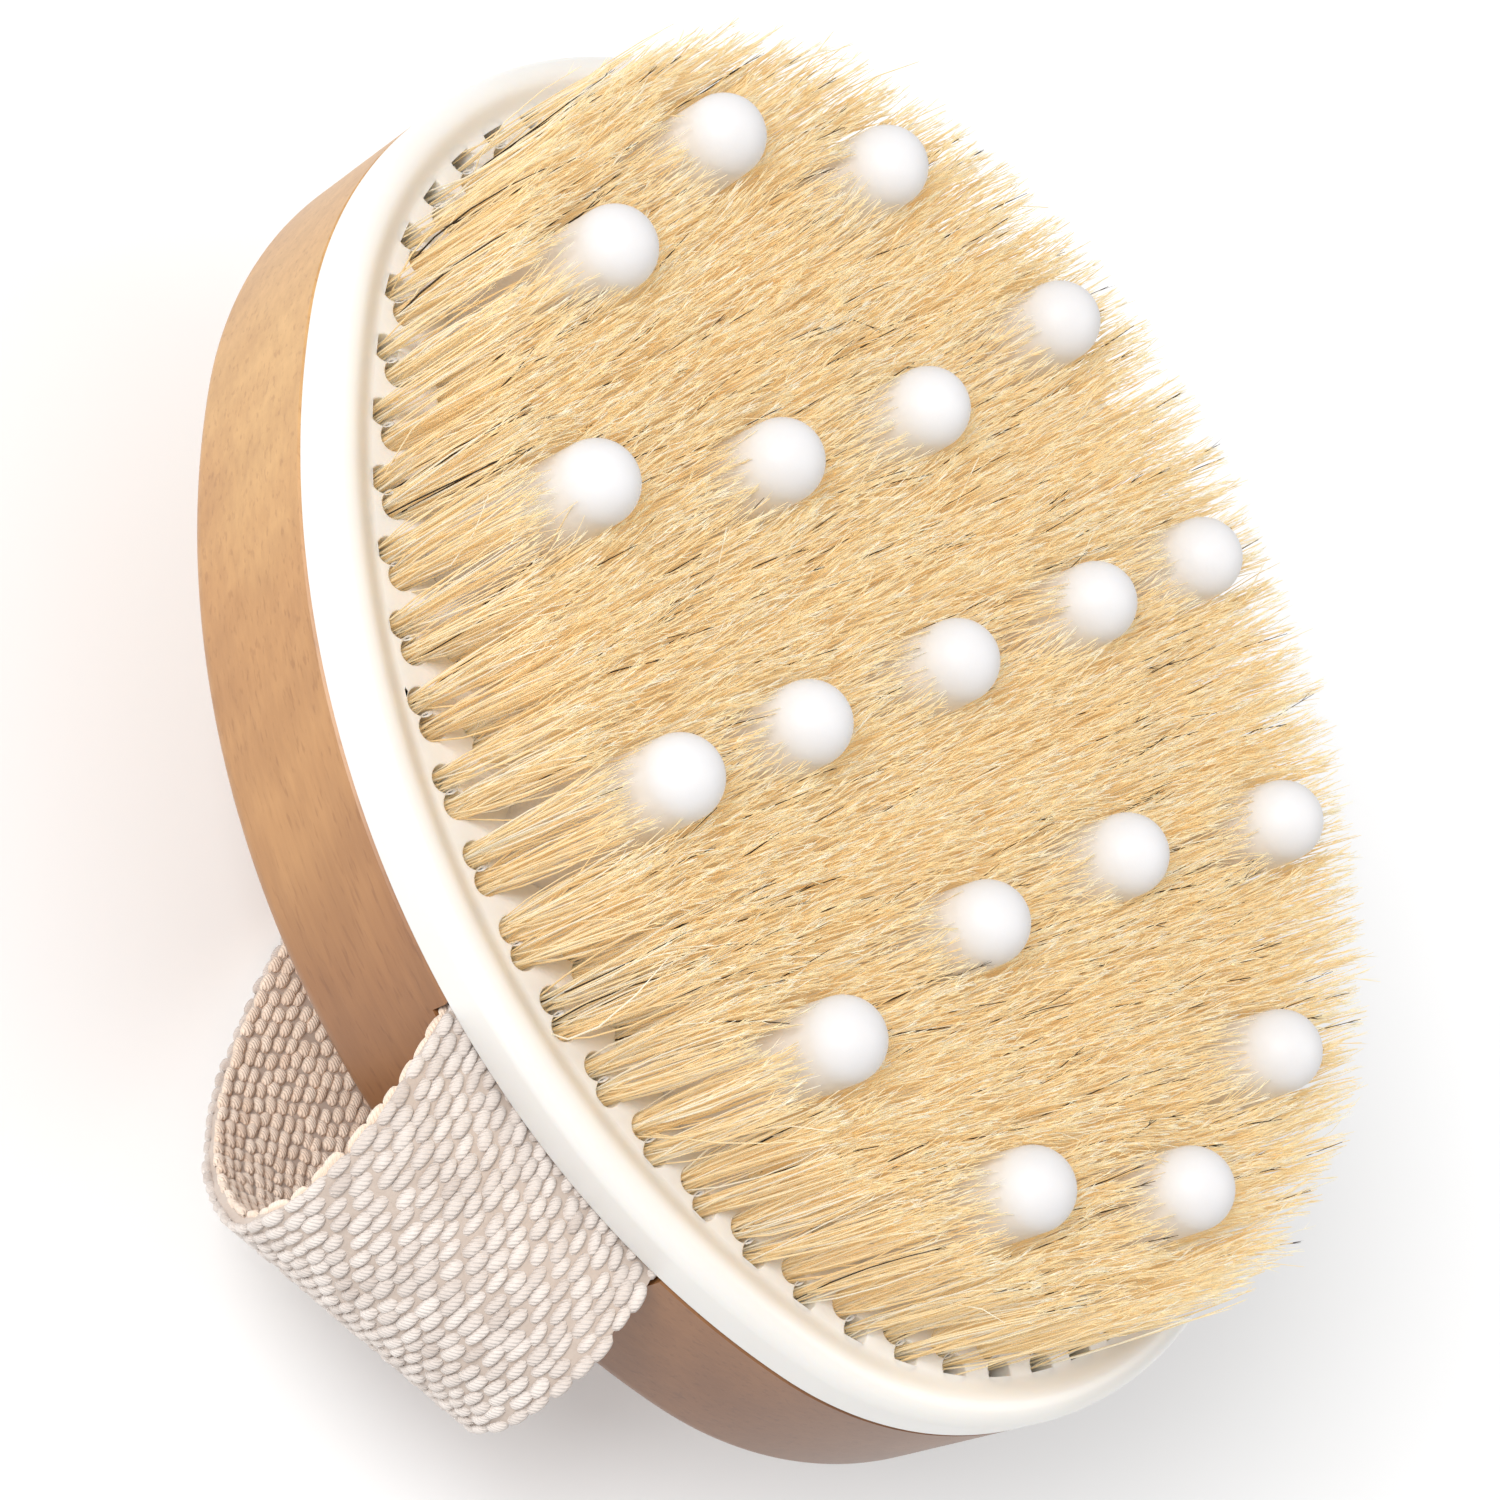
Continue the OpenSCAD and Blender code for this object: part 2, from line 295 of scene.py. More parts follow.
def plate_material():
    mat, shader, add, link = new_material("glossy_moulded_plate")
    where = add("ShaderNodeTexCoord").outputs["Object"]
    cloud = add("ShaderNodeTexNoise", {"Vector": where, "Scale": 60.0, "Detail": 2.0})
    colour = ramp(add, cloud.outputs["Fac"], [(0.3, (0.72, 0.70, 0.67)), (0.7, (0.76, 0.745, 0.715))])
    link(colour, shader.inputs["Base Color"])
    ripple = add("ShaderNodeTexNoise", {"Vector": where, "Scale": 350.0, "Detail": 2.0})
    bump = add("ShaderNodeBump", {"Strength": 0.05, "Distance": 0.0002, "Height": ripple.outputs["Fac"]})
    link(bump.outputs[0], shader.inputs["Normal"])
    shader.inputs["Roughness"].default_value = 0.28
    shader.inputs["Subsurface Weight"].default_value = 0.25
    shader.inputs["Subsurface Radius"].default_value = (0.004, 0.003, 0.002)
    shader.inputs["Subsurface Scale"].default_value = 0.5
    return mat


def nodule_material():
    mat, shader, add, link = new_material("matte_soft_rubber")
    where = add("ShaderNodeTexCoord").outputs["Object"]
    cloud = add("ShaderNodeTexNoise", {"Vector": where, "Scale": 140.0, "Detail": 3.0})
    colour = ramp(add, cloud.outputs["Fac"], [(0.3, (0.66, 0.645, 0.645)), (0.7, (0.70, 0.69, 0.695))])
    link(colour, shader.inputs["Base Color"])
    skin = add("ShaderNodeTexNoise", {"Vector": where, "Scale": 2600.0, "Detail": 2.0})
    bump = add("ShaderNodeBump", {"Strength": 0.10, "Distance": 0.0001, "Height": skin.outputs["Fac"]})
    link(bump.outputs[0], shader.inputs["Normal"])
    shader.inputs["Roughness"].default_value = 0.55
    shader.inputs["Subsurface Weight"].default_value = 0.3
    shader.inputs["Subsurface Radius"].default_value = (0.004, 0.0035, 0.003)
    shader.inputs["Subsurface Scale"].default_value = 0.5
    return mat


def bristle_material():
    mat, shader, add, link = new_material("natural_boar_bristle")
    tone_and_shade = add("ShaderNodeAttribute", attribute_name="hair_colour_and_root_shade")
    where = add("ShaderNodeTexCoord").outputs["Object"]
    streak = add("ShaderNodeTexNoise", {"Vector": where, "Scale": 900.0, "Detail": 2.0})
    vary = ramp(add, streak.outputs["Fac"], [(0.3, (0.97, 0.955, 0.93)), (0.7, (1.0, 1.0, 1.0))])
    colour = mix_colour(add, 0.8, tone_and_shade.outputs["Color"], vary, "MULTIPLY")
    link(colour, shader.inputs["Base Color"])
    # Painted light: the hairs glow weakly in their own colour, lifting the shade between them.
    link(colour, shader.inputs["Emission Color"])
    shader.inputs["Emission Strength"].default_value = 0.20
    shader.inputs["Roughness"].default_value = 0.6
    shader.inputs["Specular IOR Level"].default_value = 0.15
    # Light passes through the thin hairs.
    through = add("ShaderNodeBsdfTranslucent", {"Color": colour})
    blend = add("ShaderNodeMixShader", {"Fac": 0.5})
    link(shader.outputs[0], blend.inputs[1])
    link(through.outputs[0], blend.inputs[2])
    output = mat.node_tree.nodes["Material Output"]
    link(blend.outputs[0], output.inputs["Surface"])
    return mat


def webbing_material(name, light, dark, twist=True):
    mat, shader, add, link = new_material(name)
    tone_and_shade = add("ShaderNodeAttribute", attribute_name="yarn_tone_and_shade")
    where = add("ShaderNodeTexCoord").outputs["Object"]
    fuzz = add("ShaderNodeTexNoise", {"Vector": where, "Scale": 1500.0, "Detail": 4.0, "Roughness": 0.7})
    colour = mix_colour(add, tone_and_shade.outputs["Fac"], dark, light)
    vary = ramp(add, fuzz.outputs["Fac"], [(0.3, (0.86, 0.84, 0.82)), (0.65, (1.0, 1.0, 1.0))])
    colour = mix_colour(add, 0.6, colour, vary, "MULTIPLY")
    link(colour, shader.inputs["Base Color"])
    shader.inputs["Roughness"].default_value = 0.95
    shader.inputs["Specular IOR Level"].default_value = 0.1
    shader.inputs["Sheen Weight"].default_value = 0.3
    shader.inputs["Sheen Roughness"].default_value = 0.5
    height = fuzz.outputs["Fac"]
    if twist:
        ply = add("ShaderNodeUVMap", uv_map="yarn")
        turns = add("ShaderNodeMapping", {"Vector": ply.outputs[0], "Rotation": (0, 0, 0.6)})
        cords = add("ShaderNodeTexWave", {"Vector": turns.outputs[0], "Scale": 0.9, "Distortion": 0.6})
        ridges = {0: cords.outputs["Fac"], 1: fuzz.outputs["Fac"]}
        height = add("ShaderNodeMath", ridges, operation="ADD").outputs[0]
    bump = add("ShaderNodeBump", {"Strength": 0.55, "Distance": 0.00015, "Height": height})
    link(bump.outputs[0], shader.inputs["Normal"])
    return mat


def wire_material():
    mat, shader, add, link = new_material("drawn_wire")
    where = add("ShaderNodeTexCoord").outputs["Object"]
    drawn = add("ShaderNodeTexNoise", {"Vector": where, "Scale": 1200.0, "Detail": 3.0})
    colour = ramp(add, drawn.outputs["Fac"], [(0.3, (0.50, 0.48, 0.44)), (0.7, (0.66, 0.64, 0.60))])
    link(colour, shader.inputs["Base Color"])
    shader.inputs["Metallic"].default_value = 1.0
    shader.inputs["Roughness"].default_value = 0.32
    return mat


def floor_material():
    mat, shader, add, link = new_material("pale_floor")
    where = add("ShaderNodeTexCoord").outputs["Object"]
    cloud = add("ShaderNodeTexNoise", {"Vector": where, "Scale": 3.0, "Detail": 2.0})
    colour = ramp(add, cloud.outputs["Fac"], [(0.2, (0.90, 0.90, 0.90)), (0.8, (0.93, 0.93, 0.93))])
    link(colour, shader.inputs["Base Color"])
    shader.inputs["Roughness"].default_value = 0.8
    return mat


# ---------------------------------------------------------------- plate
def make_plate(material):
    """Rim swept around the oval, face with real holes, closed underneath."""
    z_wall = Z_FACE + RIM_H - RIM_ROUND
    profile = [(0.2 * MM, Z_SEAM), (0.0, Z_SEAM + 0.2 * MM), (0.0, Z_SEAM + 1.6 * MM)]
    profile += [
        (RIM_CREST * (1 - math.cos(a)), z_wall + RIM_ROUND * math.sin(a))
        for a in np.linspace(0, math.pi / 2, 15)
    ]
    profile += [
        (RIM_CREST + (RIM_W - RIM_CREST) * u, Z_FACE + RIM_H * (1 + math.cos(math.pi * u)) / 2)
        for u in np.linspace(0, 1, 15)[1:]
    ]
    verts, faces, n = sweep_oval(profile)
    faces.append(tuple(reversed(range(n))))

    # The flat face: the rim's inner loop, with a round gap for every tuft hole.
    sides = 20
    lip = 0.18 * MM
    flat = [Vector(p) for p in oval_loop(RIM_W)]
    edges = [(k, (k + 1) % n) for k in range(n)]
    sites = [site for ring in range(1, RINGS + 1) for site in tuft_sites(ring)]
    for x, y in sites:
        first = len(flat)
        for k in range(sides):
            a = 2 * math.pi * k / sides
            r = TUFT_HOLE_R + lip
            flat.append(Vector((x + r * math.cos(a), y + r * math.sin(a))))
            edges.append((first + k, first + (k + 1) % sides))
    points, _, tris, source, _, _ = delaunay_2d_cdt(flat, edges, [], 1, 1e-7)
    centres = np.array(sites)
    rim_start = (len(profile) - 1) * n
    index = {}
    for new, origins in enumerate(source):
        index[new] = origins[0] if origins else None
    remap = {}
    for new, point in enumerate(points):
        old = index[new]
        if old is not None and old < n:
            remap[new] = rim_start + old
        else:
            remap[new] = len(verts)
            verts.append((point.x, point.y, Z_FACE))
    for tri in tris:
        mid = sum((points[i] for i in tri), Vector((0, 0))) / 3
        if np.hypot(centres[:, 0] - mid.x, centres[:, 1] - mid.y).min() > TUFT_HOLE_R * 0.98 + lip * 0.9:
            faces.append(tuple(remap[i] for i in tri))
    # Walls of the holes: rounded lip, straight sleeve, floor.
    lookup = {}
    for new, old in index.items():
        if old is not None and old >= n:
            lookup[old] = remap[new]
    steps = [
        (lip * (1 - math.sin(a)), -lip * (1 - math.cos(a)))
        for a in np.linspace(0, math.pi / 2, 4)[1:]
    ]
    steps.append((0.0, -TUFT_HOLE_DEPTH))
    for s, (x, y) in enumerate(sites):
        above = [lookup[n + s * sides + k] for k in range(sides)]
        for dr, dz in steps:
            below = []
            for k in range(sides):
                a = 2 * math.pi * k / sides
                r = TUFT_HOLE_R + dr
                below.append(len(verts))
                verts.append((x + r * math.cos(a), y + r * math.sin(a), Z_FACE + dz))
            for k in range(sides):
                j = (k + 1) % sides
                faces.append((above[j], above[k], below[k], below[j]))
            above = below
        faces.append(tuple(above))
    piece = mesh_piece("bristle_plate_moulded", verts, faces, 40)
    bm = bmesh.new()
    bm.from_mesh(piece.data)
    bmesh.ops.recalc_face_normals(bm, faces=bm.faces)
    bm.to_mesh(piece.data)
    bm.free()
    piece.data.set_sharp_from_angle(angle=math.radians(40))
    piece.data.materials.append(material)
    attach(piece, "root")
    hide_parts("bristle_plate")
    return piece


# ---------------------------------------------------------------- wooden back
def make_wood(material):
    """Block swept around the oval, with a rounded back edge and pockets for the strap."""
    edge = 3.0 * MM
    chamfer = 0.35 * MM
    profile = [(9 * MM, Z_BACK)]
    profile += [
        (edge * (1 - math.sin(a)), Z_BACK + edge * (1 - math.cos(a)))
        for a in np.linspace(0, math.pi / 2, 13)
    ]
    profile += [
        (0.0, Z_BACK + 9 * MM),
        (0.0, Z_SEAM - chamfer),
        (chamfer, Z_SEAM - 0.05 * MM),
        (1.6 * MM, Z_SEAM),
    ]
    verts, faces, n = sweep_oval(profile)
    faces.append(tuple(reversed(range(n))))
    last = (len(profile) - 1) * n
    faces.append(tuple(range(last, last + n)))
    piece = mesh_piece("wood_back_turned", verts, faces, 35)

    # Pockets for the strap's ends, cut with one box at each end.
    clear = STRAP_CLEAR
    inner = strap_inner_end() - clear
    shape = Matrix.Diagonal((POCKET_LEN, STRAP_W + 2 * clear, 2 * (STRAP_T + clear), 1))
    cutter_mesh = bpy.data.meshes.new("pocket_cutter")
    both = bmesh.new()
    for turn in (0, math.pi):
        cube = bmesh.ops.create_cube(both, size=1)["verts"]
        place = (
            Matrix.Rotation(STRAP_ANGLE - math.pi / 2 + turn, 4, "Z")
            @ Matrix.Translation((inner + POCKET_LEN / 2, 0, Z_SEAM))
            @ shape
        )
        bmesh.ops.transform(both, matrix=place, verts=cube)
    both.to_mesh(cutter_mesh)
    both.free()
    cutter = bpy.data.objects.new("pocket_cutter", cutter_mesh)
    bpy.context.scene.collection.objects.link(cutter)
    cut = piece.modifiers.new("pockets", "BOOLEAN")
    cut.operation = "DIFFERENCE"
    cut.object = cutter
    cut.solver = "EXACT"
    apply_modifiers(piece)
    bpy.data.objects.remove(cutter)
    piece.data.polygons.foreach_set("use_smooth", [True] * len(piece.data.polygons))
    piece.data.set_sharp_from_angle(angle=math.radians(35))
    piece.data.materials.append(material)
    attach(piece, "root")
    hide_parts("wood_back")
    return piece


def apply_modifiers(piece):
    """Makes the piece's modifiers part of its mesh."""
    graph = bpy.context.evaluated_depsgraph_get()
    done = bpy.data.meshes.new_from_object(piece.evaluated_get(graph))
    piece.modifiers.clear()
    piece.data = done


# ---------------------------------------------------------------- nodules
def make_nodule(node, material):
    """Tapered shank with a round tip, turned about the nodule's axis."""
    x, y = nodule_site(node)
    top = nodule_high.z
    z_tip = top - NODULE_TIP_R
    profile = [
        (NODULE_BASE_R + 0.30 * MM, Z_FACE - 0.05 * MM),
        (NODULE_BASE_R + 0.12 * MM, Z_FACE + 0.08 * MM),
        (NODULE_BASE_R, Z_FACE + 0.35 * MM),
    ]
    for u in (0.15, 0.4, 0.7, 0.9, 1.0):
        r = NODULE_BASE_R + (NODULE_TIP_R - NODULE_BASE_R) * u
        profile.append((r, Z_FACE + (z_tip - Z_FACE) * u))
    for a in np.linspace(0, math.pi / 2, 17)[1:-1]:
        profile.append((NODULE_TIP_R * math.cos(a), z_tip + NODULE_TIP_R * math.sin(a)))
    sides = 56
    verts, faces = [], []
    for r, z in profile:
        for k in range(sides):
            a = 2 * math.pi * k / sides
            verts.append((x + r * math.cos(a), y + r * math.sin(a), z))
    for row in range(len(profile) - 1):
        for k in range(sides):
            a = row * sides + k
            b = row * sides + (k + 1) % sides
            faces.append((a, b, b + sides, a + sides))
    tip = len(verts)
    verts.append((x, y, top))
    last = (len(profile) - 1) * sides
    faces += [(last + k, last + (k + 1) % sides, tip) for k in range(sides)]
    faces.append(tuple(reversed(range(sides))))
    piece = mesh_piece(node + "_soft", verts, faces, 40)
    piece.data.materials.append(material)
    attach(piece, "root")
    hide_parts(node)
    return piece


# ---------------------------------------------------------------- bristles
HAIR_COUNT = 24000
# How far hair tips reach past the outer tufts, along the head and across it.
TIP_OVERHANG = np.array([-0.9, 0.9]) * MM
TIP_ROOM = 0.3 * MM
HAIR_R = 0.085 * MM
HAIR_SIDES = 3
DARK_SHARE = 0.014
# A hair's root lies this far under the face, in its hole.
ROOT_DEPTH = 2.3 * MM
ROOT_ROOM = 0.12 * MM
# Places along a hair and its thickness there.
HAIR_T = np.array([0.0, 0.28, 0.55, 0.8, 1.0])
HAIR_TAPER = np.array([1.0, 1.05, 0.95, 0.75, 0.35])


def hair_colours(rng, count):
    """Colour of each hair: straw to golden, some nearly white, a few dark."""
    pale = np.array([0.985, 0.90, 0.69])
    gold = np.array([0.96, 0.80, 0.50])
    cream = np.array([1.0, 0.96, 0.84])
    mix = rng.random((count, 1)) ** 1.3
    colour = pale * (1 - mix) + gold * mix
    white = rng.random(count) < 0.22
    colour[white] = cream * (0.92 + 0.08 * rng.random((white.sum(), 1)))
    dark = rng.random(count) < DARK_SHARE
    colour[dark] = np.array([0.07, 0.05, 0.035]) * (0.6 + rng.random((dark.sum(), 1)))
    return colour, dark


def push_from_nodules(points):
    """Moves points out of the nodules, which taper towards their tips."""
    rise = np.clip((points[..., 2] - Z_FACE) / (nodule_high.z - NODULE_TIP_R - Z_FACE), 0, 1)
    clearance = NODULE_BASE_R + (NODULE_TIP_R - NODULE_BASE_R) * rise + 0.1 * MM
    flat = points[..., :2]
    delta = flat[..., None, :] - NODULE_SITES
    distance = np.linalg.norm(delta, axis=-1)
    nearest = distance.argmin(-1)
    gap = np.take_along_axis(distance, nearest[..., None], -1)[..., 0]
    away = np.take_along_axis(delta, nearest[..., None, None], -2)[..., 0, :]
    away = away / np.maximum(gap, 1e-9)[..., None]
    short = np.maximum(clearance - gap, 0)
    points[..., :2] += away * short[..., None]
    return points


def scatter_tips():
    """Hair tips spread evenly over the trimmed top, clear of the nodules, with the
    tuft that each belongs to. Returns (ring of each tip, site, tip)."""
    rng = np.random.default_rng(42)
    rings, sites = [], []
    for ring in range(1, RINGS + 1):
        for site in tuft_sites(ring):
            rings.append(ring)
            sites.append(site)
    rings, sites = np.array(rings), np.array(sites)
    reach = np.abs(sites).max(0) + TIP_OVERHANG
    tips = rng.uniform(-1, 1, (HAIR_COUNT * 3, 2))
    radius = np.linalg.norm(tips, axis=1)
    tips = tips[radius < 1][: int(HAIR_COUNT * 1.12)] * reach
    to_nodule = np.linalg.norm(tips[:, None] - NODULE_SITES, axis=-1).min(1)
    tips = tips[to_nodule > NODULE_TIP_R + TIP_ROOM]
    tips = tips[:HAIR_COUNT]
    guess = tips + rng.normal(0, 0.55 * MM, tips.shape)
    owner = np.linalg.norm(guess[:, None] - sites, axis=-1).argmin(1)
    return rings[owner], sites[owner], tips


def hair_tubes(paths, radii):
    """Thin tubes along paths (hair, point, xyz); returns verts and quad faces."""
    count, steps, _ = paths.shape
    angles = np.arange(HAIR_SIDES) * 2 * math.pi / HAIR_SIDES
    circle = np.stack([np.cos(angles), np.sin(angles), np.zeros(HAIR_SIDES)], -1)
    rings = paths[:, :, None, :] + circle * radii[:, :, None, None]
    verts = rings.reshape(-1, 3)
    per_hair = steps * HAIR_SIDES
    quads = []
    for s in range(steps - 1):
        for k in range(HAIR_SIDES):
            j = (k + 1) % HAIR_SIDES
            low, high = s * HAIR_SIDES, (s + 1) * HAIR_SIDES
            quads.append((low + k, low + j, high + j, high + k))
    quads = np.array(quads)
    faces = (quads[None] + (np.arange(count) * per_hair)[:, None, None]).reshape(-1, 4)
    caps = np.array([(steps - 1) * HAIR_SIDES + k for k in range(HAIR_SIDES)])
    cap_faces = caps[None] + (np.arange(count) * per_hair)[:, None]
    return verts, faces, cap_faces


def make_bristles(ring, material):
    """All hairs of one ring of tufts."""
    rng = np.random.default_rng(1000 + ring)
    mine = TIPS[0] == ring
    home, target = TIPS[1][mine], TIPS[2][mine]
    hairs = len(home)
    offset = target - home
    size = np.linalg.norm(offset, axis=1)
    heading = np.arctan2(offset[:, 1], offset[:, 0]) + rng.normal(0, 1.2, hairs)
    radius = np.sqrt(np.clip(size / (3.2 * MM), 0, 1) ** 2 * 0.6 + 0.4 * rng.random(hairs))
    compass = np.stack([np.cos(heading), np.sin(heading)], -1)
    root = home + (TUFT_HOLE_R - ROOT_ROOM) * radius[:, None] * compass

    edge = smoothstep((np.linalg.norm(home / np.array([HALF_LEN, HALF_WID]), axis=1) - 0.70) / 0.25)
    tip = target + 0.28 * edge[:, None] * (home - target) + rng.normal(0, 0.35 * MM, (hairs, 2))
    stray = rng.random(hairs) < 0.03
    tip[stray] += rng.normal(0, 2.0 * MM, (stray.sum(), 2))

    length = BRISTLE_LEN + rng.normal(0, 0.4 * MM, hairs)
    short = rng.random(hairs) < 0.22
    length[short] -= rng.random(short.sum()) * 4.5 * MM
    bow = rng.normal(0, 0.45 * MM, (hairs, 2))
    bow[stray] *= 3.0

    t = HAIR_T[None, :, None]
    flare = t ** 1.12
    plan = root[:, None] * (1 - flare) + tip[:, None] * flare + bow[:, None] * (4 * t * (1 - t))
    z0 = Z_FACE - ROOT_DEPTH
    inside = -z0 + Z_FACE
    height = z0 + (length[:, None] + inside) * HAIR_T[None]
    # The part inside the hole stays straight.
    rise = np.clip((height - Z_FACE) / BRISTLE_LEN, 0, 1.2)[..., None]
    plan = root[:, None] + (plan - root[:, None]) * np.clip(rise * 6, 0, 1)
    paths = np.concatenate([plan, height[..., None]], -1)
    paths = push_from_nodules(paths)
    thick = HAIR_R * (0.75 + 0.5 * rng.random(hairs))
    radii = thick[:, None] * HAIR_TAPER[None]
    verts, faces, caps = hair_tubes(paths, radii)
    colour, dark = hair_colours(rng, hairs)

    # Split tips: two finer branches that leave the hair near its end.
    split = np.flatnonzero(rng.random(hairs) < 0.6)
    start = paths[split, -2] * 0.35 + paths[split, -1] * 0.65
    direction = paths[split, -1] - paths[split, -2]
    branch_verts, branch_faces, branch_owner = [], [], []
    offset = len(verts)
    for _ in range(2):
        push = rng.normal(0, 0.26 * MM, (len(split), 3))
        push[:, 2] = rng.normal(-0.1 * MM, 0.3 * MM, len(split))
        end = start + direction * 0.42 + push
        thin = (thick[split] * 0.5)[:, None, None]
        circle = np.array([(1, 0, 0), (-0.5, 0.87, 0), (-0.5, -0.87, 0)])
        base = start[:, None] + circle[None] * thin
        block = np.concatenate([base, end[:, None]], 1)
        first = offset + np.arange(len(split)) * 4
        branch_verts.append(block.reshape(-1, 3))
        for a, b in ((0, 1), (1, 2), (2, 0)):
            branch_faces.append(np.stack([first + a, first + b, first + 3], -1))
        branch_owner.append(np.repeat(split, 4))
        offset += len(split) * 4
    all_verts = np.concatenate([verts] + branch_verts)
    mesh = bpy.data.meshes.new(f"bristles_ring_{ring}")
    triangles = np.concatenate([caps] + branch_faces)
    loops = np.concatenate([faces.reshape(-1), triangles.reshape(-1)])
    starts = np.concatenate([np.arange(len(faces)) * 4, len(faces) * 4 + np.arange(len(triangles)) * 3])
    mesh.vertices.add(len(all_verts))
    mesh.vertices.foreach_set("co", all_verts.astype(np.float32).reshape(-1))
    mesh.loops.add(len(loops))
    mesh.loops.foreach_set("vertex_index", loops.astype(np.int32))
    mesh.polygons.add(len(starts))
    mesh.polygons.foreach_set("loop_start", starts.astype(np.int32))
    mesh.polygons.foreach_set("use_smooth", np.ones(len(starts), bool))
    mesh.update(calc_edges=True)
    mesh.validate()

    # Colour along each hair: painted shade, deeper at the root, paler towards the tip.
    along = np.clip(np.tile(np.repeat(HAIR_T, HAIR_SIDES), hairs), 0, 1)
    owner = np.repeat(np.arange(hairs), len(HAIR_T) * HAIR_SIDES)
    painted_root_shade = (0.97 + 0.03 * along)[:, None]
    tint = colour[owner] * painted_root_shade
    tint = np.where(dark[owner][:, None], colour[owner], tint)
    branch = np.concatenate(branch_owner)
    tint = np.concatenate([tint, colour[branch] * 1.05])
    rgba = np.concatenate([np.clip(tint, 0, 1), np.ones((len(tint), 1))], -1)
    layer = mesh.color_attributes.new("hair_colour_and_root_shade", "FLOAT_COLOR", "POINT")
    layer.data.foreach_set("color", rgba.astype(np.float32).reshape(-1))
    mesh.materials.append(material)
    piece = bpy.data.objects.new(f"bristles_ring_{ring}", mesh)
    bpy.context.scene.collection.objects.link(piece)
    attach(piece, "root")
    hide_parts(f"tufts_ring_{ring}")
    return piece


# ---------------------------------------------------------------- strap
def rim_reach(offset):
    """Distance along the strap's line, set off sideways, to an ellipse as big as the head."""
    s, c = math.sin(STRAP_ANGLE), math.cos(STRAP_ANGLE)
    a = (s / HALF_LEN) ** 2 + (c / HALF_WID) ** 2
    b = 2 * offset * s * c * (1 / HALF_LEN**2 - 1 / HALF_WID**2)
    d = offset**2 * ((c / HALF_LEN) ** 2 + (s / HALF_WID) ** 2) - 1
    return (-b + math.sqrt(b * b - 4 * a * d)) / (2 * a)


def strap_inner_end():
    """Distance from the middle to the strap's tucked end."""
    return min(rim_reach(STRAP_W / 2), rim_reach(-STRAP_W / 2)) - STRAP_TUCK


def strap_path():
    """Centreline of the strap as (h, z, normal h, normal z), from end to end."""
    z_end = Z_SEAM - STRAP_CLEAR - STRAP_T / 2
    z_crown = STRAP_T / 2
    bend_at = max(rim_reach(STRAP_W / 2), rim_reach(-STRAP_W / 2)) + 0.5 * MM
    crown_half = CROWN_LEN / 2
    run = bend_at - crown_half
    fall = z_end - z_crown
    lean = math.pi / 2 - 2 * math.atan((fall - 2 * STRAP_BEND_R) / run)
    side_r = STRAP_BEND_R + run / math.cos(lean)
    half = []
    for h in np.linspace(strap_inner_end(), bend_at, 24)[:-1]:
        half.append((h, z_end, 0.0, 1.0))
    for a in np.linspace(math.pi / 2, -lean, 40)[:-1]:
        c, s = math.cos(a), math.sin(a)
        half.append((bend_at + STRAP_BEND_R * c, z_end - STRAP_BEND_R + STRAP_BEND_R * s, c, s))
    for a in np.linspace(-lean, -math.pi / 2, 90)[:-1]:
        c, s = math.cos(a), math.sin(a)
        half.append((crown_half + side_r * c, z_crown + side_r + side_r * s, c, s))
    for h in np.linspace(crown_half, 0, 8)[:-1]:
        half.append((h, z_crown, 0.0, -1.0))
    other = [(-h, z, -nh, nz) for h, z, nh, nz in reversed(half)]
    return np.array(half + [(0.0, z_crown, 0.0, -1.0)] + other)


class StrapSurface:
    """Maps (distance along, across, out) on the strap to the row frame."""

    def __init__(self):
        path = strap_path()
        step = np.hypot(np.diff(path[:, 0]), np.diff(path[:, 1]))
        self.s = np.concatenate([[0], np.cumsum(step)])
        self.path = path
        self.length = float(self.s[-1])
        self.out_axis = np.array([math.sin(STRAP_ANGLE), -math.cos(STRAP_ANGLE), 0.0])
        self.across_axis = np.array([math.cos(STRAP_ANGLE), math.sin(STRAP_ANGLE), 0.0])

    def at(self, along, across, out):
        h, z, nh, nz = (np.interp(along, self.s, self.path[:, i]) for i in range(4))
        size = np.maximum(np.hypot(nh, nz), 1e-9)
        h = h + out * nh / size
        z = z + out * nz / size
        up = np.array([0, 0, 1.0])
        return h[..., None] * self.out_axis + across[..., None] * self.across_axis + z[..., None] * up


# Distance between rows of yarn, between floats in a row, and a float's length.
YARN_PITCH = 1.2 * MM
FLOAT_STEP = 2.5 * MM
FLOAT_LEN = 2.75 * MM
CORE_T = 1.25 * MM


def tone_and_shade_layer(mesh, values):
    """Stores how light each point's yarn is, from 0 to 1: its own tone with painted shade."""
    layer = mesh.attributes.new("yarn_tone_and_shade", "FLOAT", "POINT")
    layer.data.foreach_set("value", np.asarray(values, np.float32))


